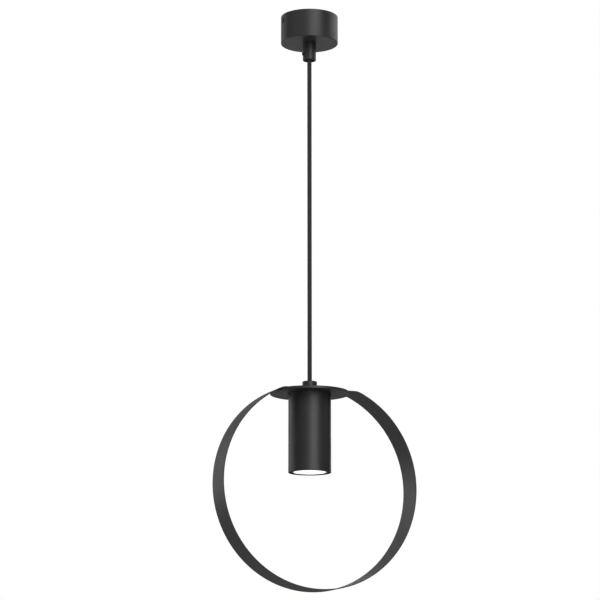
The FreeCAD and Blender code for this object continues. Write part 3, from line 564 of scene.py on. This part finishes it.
# %% Lamp body
base_radius, lamp_back = 12.5, -618.5
cone_low, cone_high, cone_middle_radius = -656.0, -630.5, 21.75
flute_depth, flute_count = 0.35, 32
share = np.linspace(0, 1, 25)[:, None]
cone_ends = np.array([(lamp_radius, cone_low), (base_radius, cone_high)])
cone_bulge = np.array([(cone_middle_radius, (cone_low + cone_high) / 2)])
cone = ((1 - share) ** 2 * cone_ends[:1] + 2 * share * (1 - share) * cone_bulge
        + share ** 2 * cone_ends[1:])
well_radius, well_top, tray_height, tray_wall = 8.5, -629.5, -656.5, 4.0
tray_radius = lamp_radius - tray_wall


def open_ended(corners):
    """Rounded outline without its first and last corner, which only give the directions in
    which it begins and ends. The span is how many points each corner becomes."""
    span = len(eased([(0, 0, 0), (1, 0, 0), (0, 1, 0)])) // 3
    return eased(corners)[span:-span]


front = open_ended([(0.0, well_top + 5.0, 0), (0.0, well_top, 0), (well_radius, well_top, 0.2),
                    (well_radius, tray_height, 0.2), (tray_radius, tray_height, 0.2),
                    (tray_radius, lamp_rim, 0.2), (lamp_radius, lamp_rim, 0.3),
                    (lamp_radius, cone_low, 0), (tray_radius, cone_low + 3.0, 0)])
back = open_ended([(base_radius + 1.0, cone_high - 2.0, 0), (base_radius, cone_high, 0),
                   (base_radius, lamp_back, 1.0), (0.0, lamp_back, 0),
                   (0.0, lamp_back - 5.0, 0)])
lamp_rows = np.concatenate([front, cone, back])
lamp_grid = turned(lamp_rows, 320)
flute_fade = np.zeros(len(lamp_rows))
flute_fade[len(front):len(front) + len(cone)] = np.sin(math.pi * share[:, 0]) ** 0.5
angle = np.arctan2(lamp_grid[..., 1], lamp_grid[..., 0])
flute = flute_depth * flute_fade[:, None] * (1 - np.cos(flute_count * angle))
lamp_grid[..., :2] *= 1 - (flute / np.maximum(lamp_rows[:, :1], 1.0))[..., None]
lamp_body = shell("lamp_body_fluted", [(lamp_grid, True)])
settle(lamp_body, "lamp", "lamp_white_shell", "lamp_shell")

# %% [markdown]
# ## Bend of the cord and the cores
#
# Where the cord flexes there is a ball of cloth, as wide as the cord, so that no gap opens at
# any angle. The cores are 2 mm wires in coloured insulation. They run through the points of the
# CAD routes as smooth splines, from the cord's cut end to their terminals.

# %% Ball of cord in the upper grip's mouth
ball_centre, ball_radius = -61.5, cord_dia / 2
down = np.linspace(0, math.pi, 25)
ball_outline = np.stack([ball_radius * np.sin(down), ball_centre + ball_radius * np.cos(down)],
                        axis=-1)
cord_ball = shell("cord_bend_cloth", [(turned(ball_outline, 48), True)])
settle(cord_ball, "cord_knuckle", "black_braid", "cord_bend")

# %% Cores
core_dia, core_ring = 2.0, 1.275
upper_end, way_axis, way_pitch, way_mouth, side_reach = -28.8, -7.0, 9.0, -4.0, -18.0
upper_turn, upper_earth_turn = -17.8, -20.8
link_place, link_foot, link_end = 15.0, -31.8, 4.0
lower_end, tail_end, tail_side, bow = -568.5, -602.5, 5.0, 4.0
tag_place, tag_turn, tag_barrel = -12.5, -576.0, -565.5


def in_cord(degrees, height):
    """Where a core leaves the cord: three lie round the middle."""
    angle = math.radians(degrees)
    return core_ring * math.cos(angle), core_ring * math.sin(angle), height


def over_to_terminal(degrees, way, turn_height):
    """Up out of the cord, across to one side, up, and back into a terminal's sleeve."""
    x, y, _ = in_cord(degrees, upper_end)
    place = way * way_pitch
    return [(x, y, upper_end), (x, y, turn_height), (place, side_reach, turn_height),
            (place, side_reach, way_axis), (place, way_mouth, way_axis)]


def down_to_contact(degrees, side):
    """Down out of the cord, bowed outwards, and onto a contact's tail."""
    x, y, _ = in_cord(degrees, lower_end)
    fall = lower_end - tail_end
    heights = [lower_end - share * fall for share in (0.30, 0.52, 0.80)]
    return [(x, y, lower_end), (x, y, heights[0]),
            (bow, side * (tail_side + bow), heights[1]),
            (0, side * tail_side, heights[2]), (0, side * tail_side, tail_end)]


core_routes = {
    "upper_live_core": ("canopy", "brown_core", over_to_terminal(150, -1, upper_turn)),
    "upper_earth_core": ("canopy", "green_core", over_to_terminal(270, 0, upper_earth_turn)),
    "upper_neutral_core": ("canopy", "blue_core", over_to_terminal(30, 1, upper_turn)),
    "upper_earth_link": ("canopy", "green_core",
                         [(0, link_place, link_foot), (0, link_place, way_axis),
                          (0, link_end, way_axis)]),
    "lower_live_core": ("pendant", "brown_core", down_to_contact(60, 1)),
    "lower_neutral_core": ("pendant", "blue_core", down_to_contact(300, -1)),
    "lower_earth_core": ("pendant", "green_core",
                         [(-core_ring, 0, lower_end), (-core_ring, 0, tag_turn),
                          (tag_place, 0, tag_turn), (tag_place, 0, tag_barrel)]),
}
for node, (body, slot, points) in core_routes.items():
    settle(soft_curve(node + "_wire", points, core_dia), body, slot, node)
print(len(core_routes), "cores")

# %% [markdown]
# ## Finishes
#
# Every finish is one shader of its own plus effects that several finishes share. The effects
# are node groups: each takes the position on the piece, which goes where the piece goes, and
# puts out numbers that vary over the surface. Powder coat gets fine grain, cloth gets a braid
# with painted shade in the grooves between its strands, plated metal gets drawn lines, and
# mouldings get a faint mottle. The coat's index of refraction is high, so that light no
# brighter than a wall draws bright lines on it.


# %% Shared effects
def effect_group(name, inputs, outputs):
    """Empty node group with a position input, these named number inputs and outputs."""
    group = bpy.data.node_groups.new(name, "ShaderNodeTree")
    group.interface.new_socket("Position", in_out="INPUT", socket_type="NodeSocketVector")
    for title, value in inputs.items():
        socket = group.interface.new_socket(title, in_out="INPUT",
                                            socket_type="NodeSocketFloat")
        socket.default_value = value
    for title in outputs:
        group.interface.new_socket(title, in_out="OUTPUT", socket_type="NodeSocketFloat")
    start = group.nodes.new("NodeGroupInput")
    end = group.nodes.new("NodeGroupOutput")
    return group, start, end


def math_node(tree, operation, *values, clamp=False):
    """Math node whose inputs are numbers or the outputs of other nodes."""
    node = tree.nodes.new("ShaderNodeMath")
    node.operation = operation
    node.use_clamp = clamp
    for socket, value in zip(node.inputs, values):
        if isinstance(value, (int, float)):
            socket.default_value = value
        else:
            tree.links.new(value, socket)
    return node.outputs[0]


def weighted_sum(tree, first, first_share, second, second_share):
    """Each of two values times its share, added up."""
    return math_node(tree, "ADD", math_node(tree, "MULTIPLY", first, first_share),
                     math_node(tree, "MULTIPLY", second, second_share))


def noise_node(tree, position, per_mm, detail=2.0, roughness=0.5):
    """Noise with this many grains to the millimetre; the count may be a socket."""
    node = tree.nodes.new("ShaderNodeTexNoise")
    node.inputs["Detail"].default_value = detail
    node.inputs["Roughness"].default_value = roughness
    tree.links.new(position, node.inputs["Vector"])
    if isinstance(per_mm, (int, float)):
        node.inputs["Scale"].default_value = per_mm / MM
    else:
        tree.links.new(math_node(tree, "MULTIPLY", per_mm, 1 / MM), node.inputs["Scale"])
    return node.outputs["Fac"]


# %% Powder grain, drawn lines and mottle
grain_group, start, end = effect_group(
    "powder_grain", {"Grain per mm": 2.2, "Peel per mm": 0.35, "Peel share": 0.5},
    ("Height", "Shade"))
links = grain_group.links
fine = noise_node(grain_group, start.outputs["Position"], start.outputs["Grain per mm"], 3.0)
peel = noise_node(grain_group, start.outputs["Position"], start.outputs["Peel per mm"], 1.0)
peel_part = math_node(grain_group, "MULTIPLY", peel, start.outputs["Peel share"])
links.new(math_node(grain_group, "ADD", fine, peel_part), end.inputs["Height"])
wide = noise_node(grain_group, start.outputs["Position"], 0.03, 2.0)
links.new(weighted_sum(grain_group, wide, 0.7, fine, 0.3), end.inputs["Shade"])

lines_group, start, end = effect_group("drawn_lines", {"Lines per mm": 3.0, "Stretch": 0.04},
                                       ("Height", "Shade"))
links = lines_group.links
parts = lines_group.nodes.new("ShaderNodeSeparateXYZ")
links.new(start.outputs["Position"], parts.inputs[0])
joined = lines_group.nodes.new("ShaderNodeCombineXYZ")
links.new(math_node(lines_group, "MULTIPLY", parts.outputs["X"], start.outputs["Stretch"]),
          joined.inputs["X"])
links.new(parts.outputs["Y"], joined.inputs["Y"])
links.new(parts.outputs["Z"], joined.inputs["Z"])
lined = noise_node(lines_group, joined.outputs[0], start.outputs["Lines per mm"], 3.0)
links.new(lined, end.inputs["Height"])
cloudy = noise_node(lines_group, start.outputs["Position"], 0.15, 2.0)
links.new(weighted_sum(lines_group, lined, 0.5, cloudy, 0.5), end.inputs["Shade"])

# %% Braid of the cord's cloth
# Two sets of strands wind round the cord, one each way. A strand's crown is half a sine wave
# across it, and where the strands' whole numbers add up to an odd one, the right one is on top.
# The crowns' height also lightens the colour, so the grooves between strands are painted
# darker: painted shade.
braid_group, start, end = effect_group(
    "cloth_braid", {"Strands round": 14.0, "Strands per mm": 0.55}, ("Height", "Shade"))
links = braid_group.links
braid_math = partial(math_node, braid_group)
parts = braid_group.nodes.new("ShaderNodeSeparateXYZ")
links.new(start.outputs["Position"], parts.inputs[0])
turn = braid_math("MULTIPLY", braid_math("ARCTAN2", parts.outputs["Y"], parts.outputs["X"]),
                  1 / (2 * math.pi))
round_part = braid_math("MULTIPLY", turn, start.outputs["Strands round"])
long_part = braid_math("MULTIPLY", braid_math("MULTIPLY", parts.outputs["Z"], 1 / MM),
                       start.outputs["Strands per mm"])
right = braid_math("ADD", round_part, long_part)
left = braid_math("SUBTRACT", round_part, long_part)
right_crown, left_crown = (
    braid_math("SINE", braid_math("MULTIPLY", braid_math("FRACT", strand), math.pi))
    for strand in (right, left))
cell_sum = braid_math("ADD", braid_math("FLOOR", right), braid_math("FLOOR", left))
half_left_over = braid_math("FRACT", braid_math("MULTIPLY", cell_sum, 0.5))
over = braid_math("GREATER_THAN", half_left_over, 0.25)
under = braid_math("SUBTRACT", 1.0, over)
height = braid_math("ADD", braid_math("MULTIPLY", over, right_crown),
                    braid_math("MULTIPLY", under, left_crown))
fibre = noise_node(braid_group, start.outputs["Position"], 6.0, 3.0, 0.7)
links.new(braid_math("ADD", height, braid_math("MULTIPLY", fibre, 0.5)), end.inputs["Height"])
# Shade output: strand height makes the crowns light and the grooves between strands dark, which
# is painted shade. The fibre noise adds the cloth's own uneven tone.
links.new(weighted_sum(braid_group, height, 0.6, fibre, 0.4), end.inputs["Shade"])
print("effects:", [group.name for group in bpy.data.node_groups])


# %% A finish out of an effect and one shader
shade_low, shade_high = 0.3, 0.7


def finish(name, effect, dark, light, rough, bump, group_values=(), **shader_values):
    """Material: the effect's shade mixes two colours and two roughnesses, its height bumps
    the normal by a distance in millimetres, and the rest is set on the shader itself."""
    material = bpy.data.materials.new(name + "_finish")
    material.use_nodes = True
    tree = material.node_tree
    shader = tree.nodes["Principled BSDF"]
    coords = tree.nodes.new("ShaderNodeTexCoord")
    group = tree.nodes.new("ShaderNodeGroup")
    group.node_tree = effect
    tree.links.new(coords.outputs["Object"], group.inputs["Position"])
    for title, value in dict(group_values).items():
        group.inputs[title].default_value = value
    ramp = tree.nodes.new("ShaderNodeMapRange")
    ramp.inputs["From Min"].default_value = shade_low
    ramp.inputs["From Max"].default_value = shade_high
    tree.links.new(group.outputs["Shade"], ramp.inputs["Value"])
    colours = tree.nodes.new("ShaderNodeMix")
    colours.data_type = "RGBA"
    colours.inputs["A"].default_value = (*dark, 1)
    colours.inputs["B"].default_value = (*light, 1)
    tree.links.new(ramp.outputs[0], colours.inputs["Factor"])
    tree.links.new(colours.outputs["Result"], shader.inputs["Base Color"])
    roughness = tree.nodes.new("ShaderNodeMapRange")
    roughness.inputs["To Min"].default_value = rough[0]
    roughness.inputs["To Max"].default_value = rough[1]
    tree.links.new(ramp.outputs[0], roughness.inputs["Value"])
    tree.links.new(roughness.outputs[0], shader.inputs["Roughness"])
    relief = tree.nodes.new("ShaderNodeBump")
    relief.inputs["Distance"].default_value = bump * MM
    relief.inputs["Strength"].default_value = 1.0
    tree.links.new(group.outputs["Height"], relief.inputs["Height"])
    tree.links.new(relief.outputs["Normal"], shader.inputs["Normal"])
    for title, value in shader_values.items():
        shader.inputs[title.replace("_", " ")].default_value = value
    return material


# %% The finishes
coat_values = {"Grain per mm": 2.4, "Peel per mm": 0.4, "Peel share": 0.6}
finishes = {made.name.removesuffix("_finish"): made for made in (
    finish("black_powder_coat", grain_group, (0.023, 0.023, 0.0235),
           (0.029, 0.029, 0.0295), (0.40, 0.48), 0.02, coat_values,
           IOR=2.2),
    # The braid's dark colour is painted shade in the grooves between strands, and its light
    # colour is on the crowns.
    finish("black_braid", braid_group, (0.078, 0.078, 0.080),
           (0.132, 0.132, 0.136), (0.9, 0.75), 0.08,
           Sheen_Weight=0.2, Sheen_Roughness=0.4),
    finish("blackened_steel", lines_group, (0.028, 0.028, 0.030),
           (0.045, 0.045, 0.048), (0.32, 0.42), 0.01),
    finish("black_silicone", grain_group, (0.022, 0.022, 0.022),
           (0.030, 0.030, 0.030), (0.6, 0.7), 0.02),
    finish("lamp_grey_bezel", grain_group, (0.36, 0.36, 0.37),
           (0.42, 0.42, 0.43), (0.4, 0.5), 0.01),
    finish("lamp_white_shell", grain_group, (0.84, 0.84, 0.82),
           (0.90, 0.90, 0.88), (0.3, 0.4), 0.01),
    finish("zinc_plated_steel", lines_group, (0.50, 0.51, 0.53),
           (0.66, 0.67, 0.68), (0.28, 0.42), 0.006, Metallic=1.0),
    finish("tinned_brass", lines_group, (0.56, 0.54, 0.47),
           (0.70, 0.68, 0.60), (0.3, 0.45), 0.006, Metallic=1.0),
    finish("plain_brass", lines_group, (0.58, 0.40, 0.15),
           (0.74, 0.56, 0.26), (0.25, 0.4), 0.006, Metallic=1.0),
    finish("nickel_pins", lines_group, (0.56, 0.54, 0.50),
           (0.68, 0.66, 0.62), (0.2, 0.3), 0.004, Metallic=1.0),
    finish("white_polyamide", grain_group, (0.78, 0.78, 0.74),
           (0.86, 0.86, 0.82), (0.45, 0.55), 0.01),
    finish("white_ceramic", grain_group, (0.62, 0.60, 0.54),
           (0.74, 0.72, 0.66), (0.55, 0.7), 0.03),
    finish("brown_core", grain_group, (0.11, 0.045, 0.02),
           (0.15, 0.065, 0.03), (0.4, 0.5), 0.01),
    finish("blue_core", grain_group, (0.02, 0.09, 0.33), (0.03, 0.12, 0.42),
           (0.4, 0.5), 0.01),
    finish("green_core", lines_group, (0.04, 0.24, 0.04), (0.62, 0.58, 0.04),
           (0.4, 0.5), 0.004, {"Lines per mm": 0.6, "Stretch": 1.0}),
    finish("white_circuit_board", grain_group, (0.72, 0.72, 0.70),
           (0.78, 0.78, 0.76), (0.3, 0.4), 0.004),
    finish("green_circuit_board", grain_group, (0.02, 0.11, 0.05),
           (0.03, 0.15, 0.07), (0.25, 0.35), 0.004),
    finish("lit_lens", grain_group, (0.85, 0.85, 0.83), (0.9, 0.9, 0.88),
           (0.5, 0.6), 0.02, Emission_Strength=0.85,
           Emission_Color=(1.0, 0.995, 0.985, 1.0)),
)}

# %% Put the finishes on
slots = {row["node"]: row["material_slot"] for row in frame["record"]["subparts"]}
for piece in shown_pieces():
    title = piece.get("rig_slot") or slots[piece.name]
    if not piece.material_slots:
        piece.data.materials.append(None)
    for holder in piece.material_slots:
        holder.material = finishes[title]

# %% [markdown]
# ## Studio
#
# The lamp hangs in a white room over a pale floor. A white room alone would light a black
# object evenly and hide its shape. So the room gives little light of its own, and soft boxes
# of about the brightness of its walls stand round the lamp. A tall one in front draws the
# bright line down canopy and tube, those on the right and on the left light the edges, and
# those behind light the undersides and the inside of the hoop. None is much brighter than the
# walls, so nothing glares when the lamp is seen from another side. The view's gamma is lowered,
# because the photograph mixes black and white at its edges in plain pixel values, which makes
# thin dark parts look bolder.

# %% Room and floor
wall_as_seen, wall_as_light = 1.0, 0.245
picture_gamma = 0.7
world = bpy.data.worlds.new("room")
bpy.context.scene.world = world
world.use_nodes = True
tree = world.node_tree
tree.nodes.clear()
seen, lit = (tree.nodes.new("ShaderNodeBackground") for _ in range(2))
for wall, strength in ((seen, wall_as_seen), (lit, wall_as_light)):
    wall.inputs["Strength"].default_value = strength
    wall.inputs["Color"].default_value = (1, 1, 1, 1)
path = tree.nodes.new("ShaderNodeLightPath")
mix = tree.nodes.new("ShaderNodeMixShader")
out = tree.nodes.new("ShaderNodeOutputWorld")
tree.links.new(path.outputs["Is Camera Ray"], mix.inputs["Fac"])
tree.links.new(lit.outputs[0], mix.inputs[1])
tree.links.new(seen.outputs[0], mix.inputs[2])
tree.links.new(mix.outputs[0], out.inputs["Surface"])
view = bpy.context.scene.view_settings
view.view_transform = "Standard"
view.gamma = picture_gamma

floor_height, floor_half = -2400.0, 10000.0
span = np.linspace(-floor_half, floor_half, 21)
floor_grid = np.stack(np.broadcast_arrays(span[None, :], span[:, None],
                                          np.array([[floor_height]])), axis=-1)
floor = shell("floor", [(floor_grid, False)])
floor.data.flip_normals()
floor_finish = finish("pale_floor", grain_group, (0.78, 0.78, 0.77), (0.82, 0.82, 0.81),
                      (0.7, 0.8), 0.1, {"Grain per mm": 0.02, "Peel per mm": 0.004})
floor.data.materials.append(floor_finish)

# %% [markdown]
# ### The floor in the picture
#
# Light falls on the floor as on any pale paint, but four fifths of what the camera sees of it
# is an even pale tone, like a studio floor with its own lights. Seen from below it is clear, so
# a camera under the lamp still finds it.

# %% Floor as the camera sees it
even_share, even_tone = 0.8, 1.07
tree = floor_finish.node_tree
path = tree.nodes.new("ShaderNodeLightPath")
side = tree.nodes.new("ShaderNodeNewGeometry")
bright = tree.nodes.new("ShaderNodeEmission")
bright.inputs["Color"].default_value = (1.0, 1.0, 0.99, 1)
bright.inputs["Strength"].default_value = even_tone
unseen = tree.nodes.new("ShaderNodeBsdfTransparent")
from_above, pale, shown = (tree.nodes.new("ShaderNodeMixShader") for _ in range(3))
pale.inputs["Fac"].default_value = even_share
tree.links.new(tree.nodes["Principled BSDF"].outputs[0], pale.inputs[1])
tree.links.new(bright.outputs[0], pale.inputs[2])
tree.links.new(side.outputs["Backfacing"], from_above.inputs["Fac"])
tree.links.new(pale.outputs[0], from_above.inputs[1])
tree.links.new(unseen.outputs[0], from_above.inputs[2])
tree.links.new(path.outputs["Is Camera Ray"], shown.inputs["Fac"])
tree.links.new(tree.nodes["Principled BSDF"].outputs[0], shown.inputs[1])
tree.links.new(from_above.outputs[0], shown.inputs[2])
tree.links.new(shown.outputs[0], tree.nodes["Material Output"].inputs["Surface"])
print("floor", floor_half * 2 * MM, "m wide,", -floor_height * MM, "m under the ceiling")


# %% Soft boxes
lamp_middle = (0.0, 0.0, -0.5)
box_distance = 4.0


def soft_box(name, turn, rise, width, height, power):
    """Rectangular area light that faces the lamp's middle. Its place is the middle plus the
    boxes' distance times the direction of that turn and rise."""
    turn, rise = math.radians(turn), math.radians(rise)
    direction = np.array([math.cos(rise) * math.cos(turn), math.cos(rise) * math.sin(turn),
                          math.sin(rise)])
    light = bpy.data.lights.new(name, "AREA")
    light.shape = "RECTANGLE"
    light.size, light.size_y, light.energy = width, height, power
    box = bpy.data.objects.new(name, light)
    box.location = lamp_middle + box_distance * direction
    box.rotation_euler = Vector(direction).to_track_quat("Z", "Y").to_euler()
    box.visible_camera = False
    bpy.context.scene.collection.objects.link(box)
    print(f"{name}: {power} W, {np.round(box.location, 2)}")


# Turn and rise are in degrees, width and height in metres, and the power is in watts.
soft_boxes = {
    "front_box": (270, 14, 3.2, 4.4, 66),
    "front_low_box": (238, -10, 1.1, 1.1, 4.2),
    "right_high_box": (14, 36, 4.5, 2.8, 50),
    "right_box": (57, 4, 3.4, 1.3, 24),
    "left_high_box": (200, 30, 4.5, 2.6, 14),
    "left_top_box": (212, 60, 1.6, 1.6, 10),
    "back_right_box": (86, 14, 2.4, 2.4, 10),
    "back_box": (124, 12, 2.2, 2.2, 14),
    "back_low_box": (150, -16, 1.7, 1.6, 24),
}
for name, values in soft_boxes.items():
    soft_box(name, *values)
